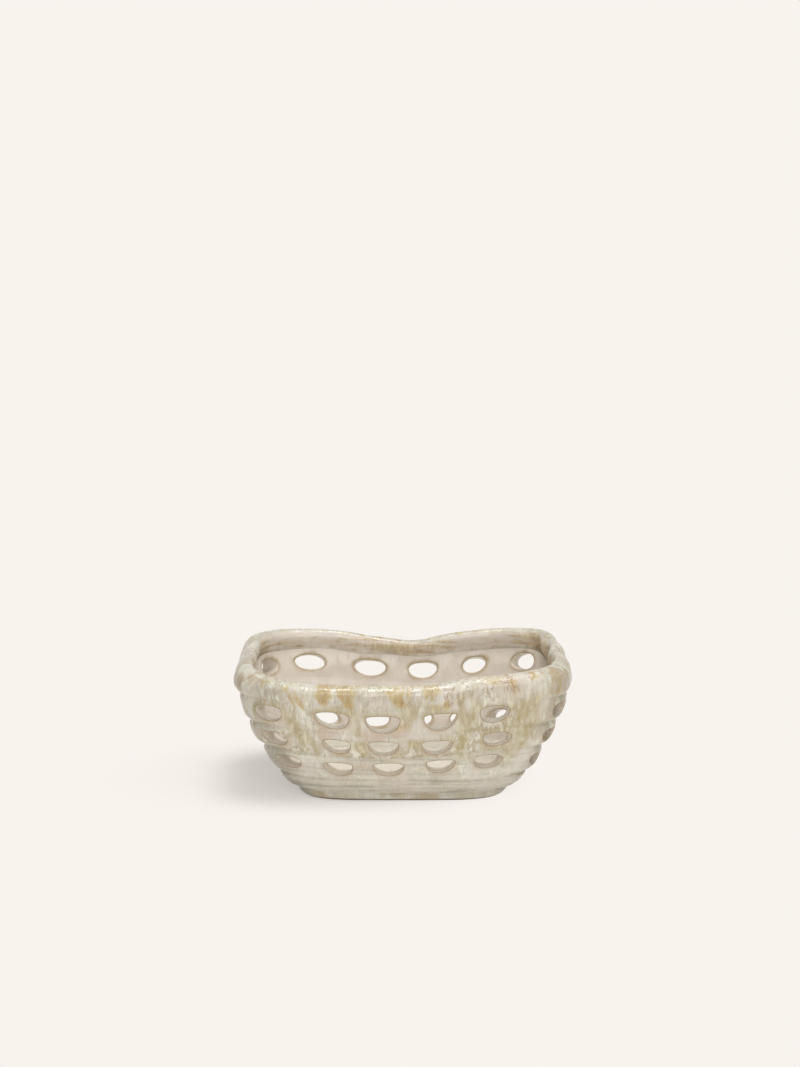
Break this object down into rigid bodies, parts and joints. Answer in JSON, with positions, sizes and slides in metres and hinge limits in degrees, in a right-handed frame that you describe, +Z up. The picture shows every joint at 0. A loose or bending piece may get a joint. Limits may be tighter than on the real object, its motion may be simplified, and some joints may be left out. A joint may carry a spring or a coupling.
{
  "type": "bread basket",
  "caption": "Coil-built stoneware bread basket: a squared, flaring bowl pierced with rows of oval holes, with a thick rolled rim that dips along both long sides.",
  "frame": {"origin": "on the surface it stands on, under the middle of the floor", "axes": "+X along the basket's length, -Y to the front, +Z up"},
  "size_m": [0.298, 0.198, 0.1238],
  "materials": {
    "bare_clay": "unglazed stoneware, matt",
    "slab_glaze": "glossy cream ash glaze, thin over the clay",
    "inner_glaze": "glossy pinkish cream glaze",
    "plain_course_glaze": "glossy cream ash glaze with throwing lines",
    "lower_course_glaze": "glossy cream ash glaze, tan round the holes",
    "middle_course_glaze": "glossy cream ash glaze with olive runs, tan round the holes",
    "upper_course_glaze": "glossy cream ash glaze with olive runs, tan round the holes",
    "rim_glaze": "glossy cream ash glaze breaking ochre on the rim"
  },
  "bodies": {
    "root": {"foot_ring": "bare_clay", "base_slab": "slab_glaze", "inner_seam_coil": "inner_glaze", "plain_course": "plain_course_glaze", "lower_pierced_course": "lower_course_glaze", "middle_pierced_course": "middle_course_glaze", "upper_pierced_course": "upper_course_glaze", "rim_coil": "rim_glaze"}
  },
  "joints": []
}
